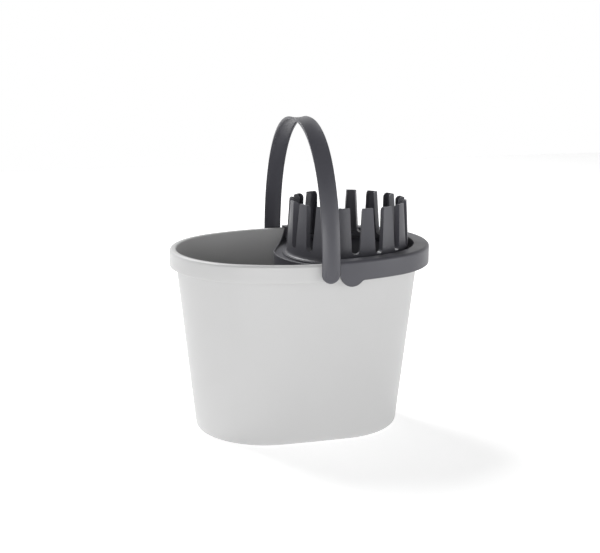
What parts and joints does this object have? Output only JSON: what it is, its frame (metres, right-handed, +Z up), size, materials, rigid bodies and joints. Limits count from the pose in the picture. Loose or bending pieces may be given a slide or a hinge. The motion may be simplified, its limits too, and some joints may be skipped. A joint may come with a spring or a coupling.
{
  "type": "mop bucket with wringer",
  "caption": "Oval mop bucket with a swinging bail handle and a lift-off wringer: a fingered basket in a collar hooked over the rim.",
  "frame": {"origin": "middle of the bucket's base, on the surface that it stands on", "axes": "+Z up; X along the bucket with the wringer at +X; Y across it along the handle's pivot axis"},
  "size_m": [0.378, 0.2948, 0.4487],
  "materials": {
    "bucket_plastic": "fine satin moulding, very light grey",
    "dark_plastic": "fine satin moulding, anthracite"
  },
  "bodies": {
    "bucket_body": {"bucket": "bucket_plastic"},
    "handle_body": {"handle": "dark_plastic"},
    "wringer_body": {"wringer_collar": "dark_plastic", "wringer_basket": "dark_plastic"}
  },
  "joints": [
    {"name": "handle_swing", "type": "hinge", "parent": "bucket_body", "child": "handle_body", "pos_m": [0.003, 0, 0.25275], "axis": [0, 1, 0], "range_deg": [-112, 80]},
    {"name": "wringer_lift", "type": "slide", "parent": "bucket_body", "child": "wringer_body", "axis": [0, 0, 1], "range_m": [0, 0.095]}
  ]
}
